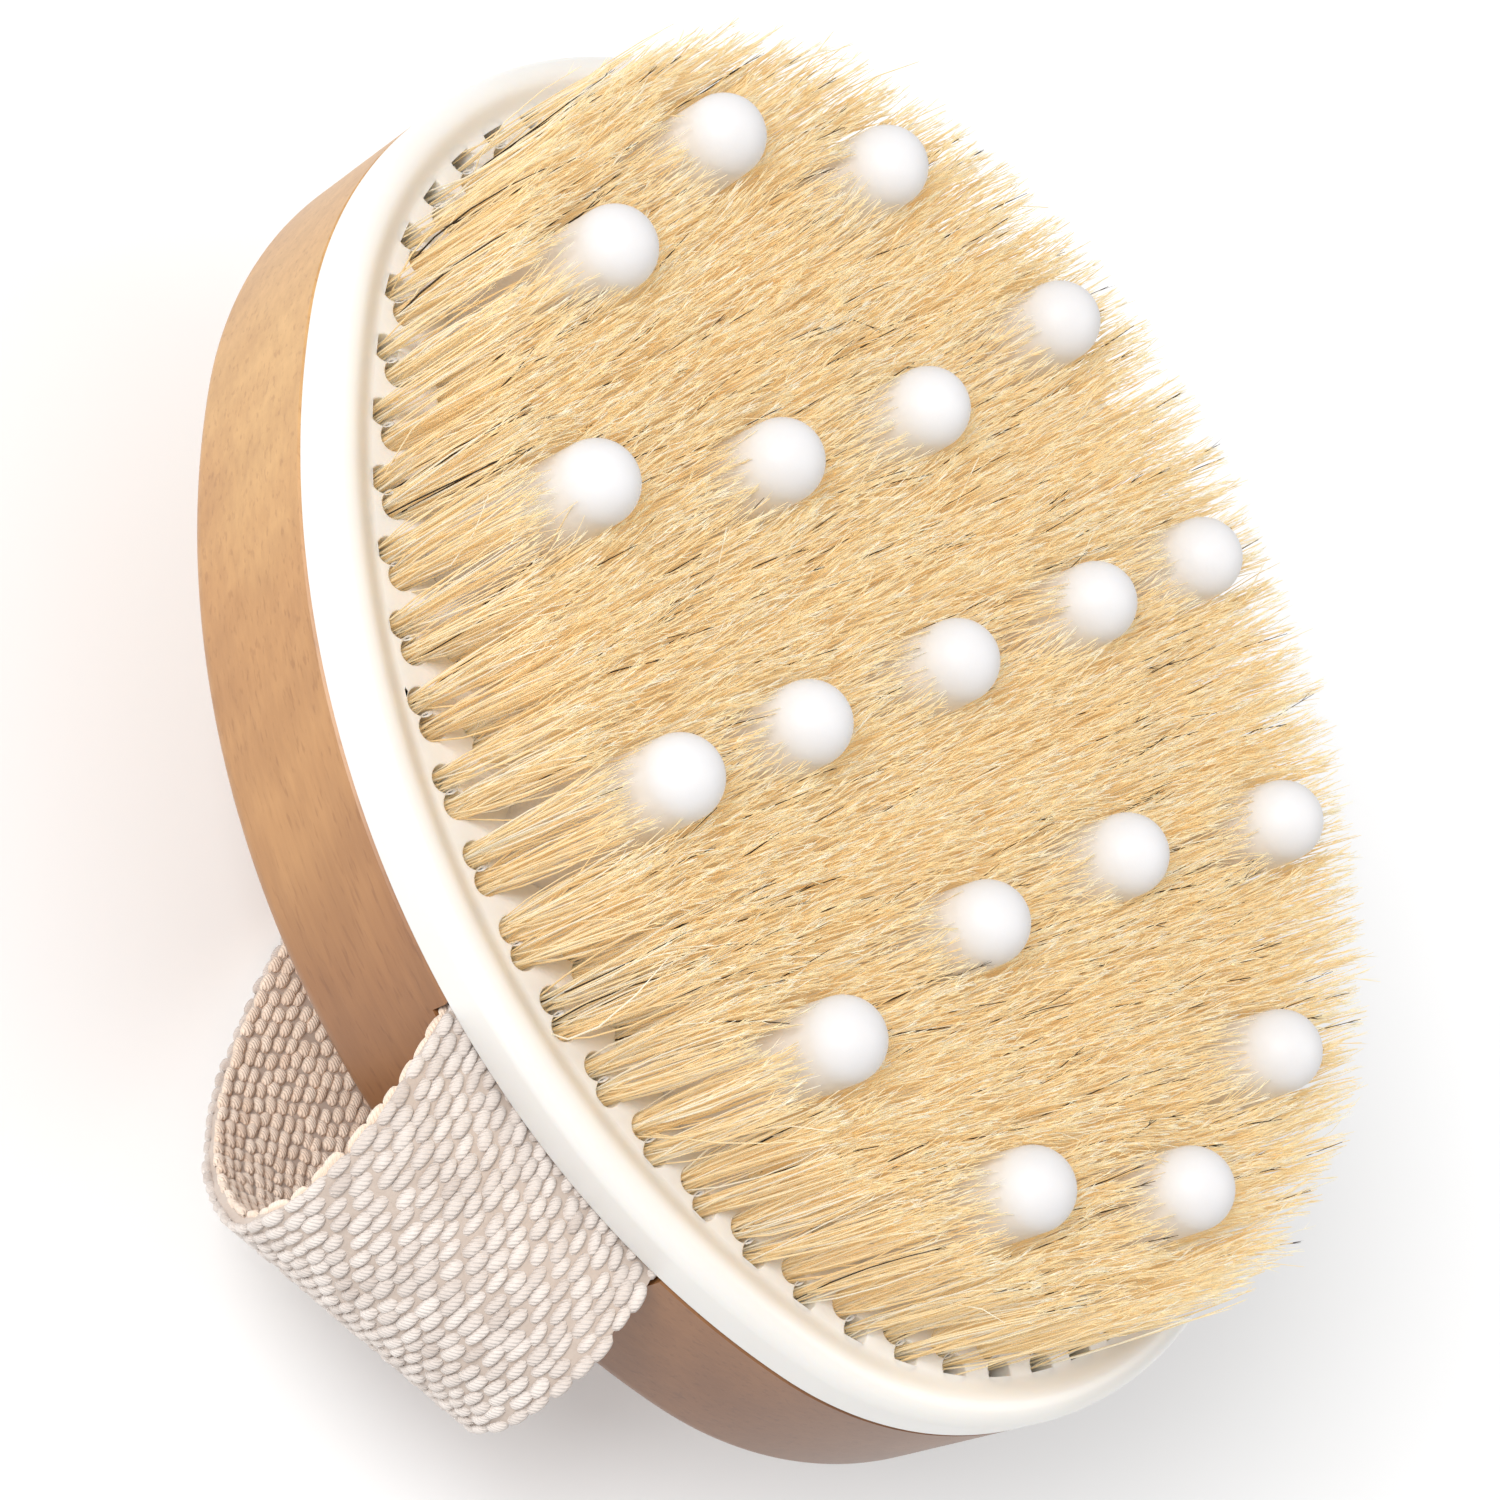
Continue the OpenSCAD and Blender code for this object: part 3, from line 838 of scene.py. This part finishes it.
def make_strap_core(surface, material):
    """The band under the yarns, a closed slab with softly uneven edges."""
    rng = np.random.default_rng(71)
    steps = 420
    across_steps = 14
    s = np.linspace(0, surface.length, steps)
    wobble = np.interp(s, np.linspace(0, surface.length, 60), rng.normal(0, 0.18 * MM, 60))
    rows = []
    half = STRAP_W / 2 - 0.7 * MM
    outline = [(v, CORE_T / 2) for v in np.linspace(-1, 1, across_steps)]
    outline += [(v, -CORE_T / 2) for v in np.linspace(1, -1, across_steps)]
    n = len(outline)
    for v, out in outline:
        rows.append(surface.at(s, v * half + wobble * v, np.full(steps, out)))
    verts = np.stack(rows, 1).reshape(-1, 3)
    faces = []
    for i in range(steps - 1):
        for k in range(n):
            j = (k + 1) % n
            faces.append((i * n + k, (i + 1) * n + k, (i + 1) * n + j, i * n + j))
    faces.append(tuple(range(n)))
    faces.append(tuple(reversed(range((steps - 1) * n, steps * n))))
    piece = mesh_piece("hand_strap_band", [tuple(v) for v in verts], faces, 50)
    # Dark core: partly the weft's own colour, partly painted shadow in the gaps between the floats.
    tone_and_shade_layer(piece.data, np.full(len(verts), 0.15))
    piece.data.materials.append(material)
    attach(piece, "root")
    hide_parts("hand_strap")
    return piece


def make_floats(surface, side, name, material):
    """Slubby yarn floats on one side of the strap (side 1 is outside, -1 inside)."""
    rng = np.random.default_rng(500 + side)
    rows = int(round((STRAP_W - 0.6 * MM) / YARN_PITCH))
    pitch = (STRAP_W - 0.5 * MM) / rows
    along, across = [], []
    for row in range(rows):
        v = -STRAP_W / 2 + 0.25 * MM + pitch * (row + 0.5)
        phase = ((row * 0.46) % 1 + rng.normal(0, 0.07)) * FLOAT_STEP
        count = int(surface.length / FLOAT_STEP) + 2
        for k in range(-1, count):
            along.append(phase + k * FLOAT_STEP + rng.normal(0, 0.22 * MM))
            across.append(v + rng.normal(0, 0.09 * MM))
    along = np.array(along)
    across = np.array(across)
    # The tucked ends are out of sight and carry no floats past the first 3 mm.
    bare = STRAP_TUCK - 3 * MM
    keep = (along > bare) & (along < surface.length - bare)
    along, across = along[keep], across[keep]
    count = len(along)
    length = FLOAT_LEN * (0.85 + 0.3 * rng.random(count))
    width = pitch * 0.5 * (0.88 + 0.30 * rng.random(count))
    tall = 0.40 * MM * (0.85 + 0.3 * rng.random(count))
    tilt = rng.normal(0.05, 0.05, count)
    lift = rng.normal(0.0, 0.05 * MM, count)
    t = np.linspace(-1, 1, 8)
    sides = 6
    angle = np.arange(sides) * 2 * math.pi / sides
    body = np.maximum(1 - np.abs(t) ** 3.2, 0.0) ** 0.5
    body = np.maximum(body, 0.18)
    arch = np.cos(t * math.pi / 2) ** 0.6
    u = along[:, None, None] + (length / 2)[:, None, None] * t[None, :, None] + 0 * angle
    local_v = (width[:, None, None] * body[None, :, None]) * np.cos(angle)
    local_w = (tall[:, None, None] * body[None, :, None]) * np.sin(angle)
    slant = np.tan(tilt)[:, None, None] * (length / 2)[:, None, None] * t[None, :, None]
    v = across[:, None, None] + local_v + slant
    base = CORE_T / 2 - 0.12 * MM
    rise = (0.20 * MM) * arch[None, :, None] - 0.10 * MM * (1 - arch[None, :, None])
    # Floats stay just inside the webbing's thickness.
    w = np.minimum(base + lift[:, None, None] + rise + local_w, STRAP_T / 2 - 0.02 * MM)
    points = surface.at(u, v, side * w)
    verts = points.reshape(-1, 3)
    steps = len(t)
    quads = []
    for i in range(steps - 1):
        for k in range(sides):
            j = (k + 1) % sides
            quad = (i * sides + k, i * sides + j, (i + 1) * sides + j, (i + 1) * sides + k)
            quads.append(quad if side < 0 else quad[::-1])
    quads = np.array(quads)
    per = steps * sides
    faces = (quads[None] + (np.arange(count) * per)[:, None, None]).reshape(-1, 4)
    ends = []
    for first, order in ((0, -side), ((steps - 1) * sides, side)):
        loop = np.arange(sides) + first
        ends.append(loop if order > 0 else loop[::-1])
    caps = [tuple(loop + i * per) for i in range(count) for loop in ends]
    mesh = bpy.data.meshes.new(name)
    mesh.from_pydata([tuple(p) for p in verts], [], [tuple(f) for f in faces] + caps)
    mesh.update()
    mesh.polygons.foreach_set("use_smooth", [True] * len(mesh.polygons))
    yarn = 0.55 + 0.45 * rng.random(count)
    stained = rng.random(count) < 0.04
    yarn[stained] = 0.30
    # Painted shade: each float is darker towards its ends, where it dips into the weave, and lighter on its
    # crown than on its flanks.
    painted_end_shade = 0.55 + 0.45 * arch
    tone_and_shade = yarn[:, None, None] * painted_end_shade[None, :, None] * (0.75 + 0.25 * np.sin(angle))
    tone_and_shade_layer(mesh, np.clip(tone_and_shade, 0, 1).reshape(-1))
    layer = mesh.uv_layers.new(name="yarn")
    corner = np.empty(len(mesh.loops), np.int32)
    mesh.loops.foreach_get("vertex_index", corner)
    uu = (t[None, :, None] * (length / 2)[:, None, None] * 1000 + 0 * angle).reshape(-1)
    vv = (np.broadcast_to(angle, (count, steps, sides)) * 0.6).reshape(-1)
    layer.data.foreach_set("uv", np.stack([uu[corner], vv[corner]], -1).astype(np.float32).reshape(-1))
    mesh.materials.append(material)
    piece = bpy.data.objects.new(name, mesh)
    bpy.context.scene.collection.objects.link(piece)
    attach(piece, "root")
    return piece


# ---------------------------------------------------------------- stage, light, camera
CAMERA_AT = Vector((0.00688, -0.24160, 0.27172))
CAMERA_TURN = Quaternion((0.784312, 0.295651, -0.180978, 0.514482))
CAMERA_LENS = 97.72


def make_camera():
    data = bpy.data.cameras.new("camera")
    data.sensor_width = 36
    data.lens = CAMERA_LENS
    data.clip_start = 0.01
    data.clip_end = 20
    camera = bpy.data.objects.new("camera", data)
    bpy.context.scene.collection.objects.link(camera)
    camera.rotation_mode = "QUATERNION"
    camera.location = CAMERA_AT + Vector((0, 0, Z_FACE))
    camera.rotation_quaternion = CAMERA_TURN
    bpy.context.scene.camera = camera
    return camera


def make_light(name, at, aim, size, watts, colour=(1, 1, 1)):
    data = bpy.data.lights.new(name, "AREA")
    data.shape = "DISK"
    data.size = size
    data.energy = watts
    data.color = colour
    light = bpy.data.objects.new(name, data)
    light.location = at
    light.rotation_mode = "QUATERNION"
    light.rotation_quaternion = (Vector(aim) - Vector(at)).to_track_quat("-Z", "Y")
    bpy.context.scene.collection.objects.link(light)
    return light


def make_stage(material):
    size = 3.0
    steps = 24
    verts, faces = [], []
    for i in range(steps + 1):
        for j in range(steps + 1):
            verts.append((size * (i / steps - 0.5), size * (j / steps - 0.5), 0.0))
    for i in range(steps):
        for j in range(steps):
            a = i * (steps + 1) + j
            faces.append((a, a + steps + 1, a + steps + 2, a + 1))
    floor = mesh_piece("floor", verts, faces, 40)
    floor.data.materials.append(material)
    world = bpy.data.worlds.new("soft_white")
    world.use_nodes = True
    background = world.node_tree.nodes["Background"]
    background.inputs["Color"].default_value = (1.0, 1.0, 1.0, 1)
    background.inputs["Strength"].default_value = 0.60
    bpy.context.scene.world = world
    # Light bounces many times between pale hairs before it is lost.
    bpy.context.scene.cycles.diffuse_bounces = 12
    bpy.context.scene.cycles.transmission_bounces = 12
    bpy.context.scene.cycles.max_bounces = 16
    middle = (0, 0, 0.06)
    make_light("key", (-0.30, -0.60, 0.70), middle, 0.45, 7.5)
    make_light("fill", (0.40, 0.45, 0.80), middle, 0.7, 2.6)


# ---------------------------------------------------------------- build
make_camera()
make_stage(floor_material())
plate = make_plate(plate_material())
wood = make_wood(wood_material())
soft = nodule_material()
for node in NODULES:
    make_nodule(node, soft)
boar = bristle_material()
TIPS = scatter_tips()
for ring in range(1, RINGS + 1):
    make_bristles(ring, boar)
surface = StrapSurface()
core_cotton = webbing_material("cotton_webbing_core", (0.74, 0.66, 0.59), (0.50, 0.41, 0.35), twist=False)
outer_cotton = webbing_material("cotton_yarn_outside", (0.80, 0.73, 0.68), (0.52, 0.44, 0.39))
# Painted light: the inside yarns' peach tint and extra brightness stand in for light bounced from the wood.
inside_cotton_painted_bounce = webbing_material("cotton_yarn_inside_painted_bounce", (0.96, 0.83, 0.71), (0.80, 0.61, 0.47))
band = make_strap_core(surface, core_cotton)
outer = make_floats(surface, 1, "hand_strap_yarns_outside", outer_cotton)
inner = make_floats(surface, -1, "hand_strap_yarns_inside", inside_cotton_painted_bounce)
wire = wire_material()
for name in ["strap_staples"] + [f"anchors_ring_{ring}" for ring in range(1, RINGS + 1)]:
    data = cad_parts[name].data
    data.materials.clear()
    data.materials.append(wire)

bpy.context.scene.view_settings.view_transform = "Standard"
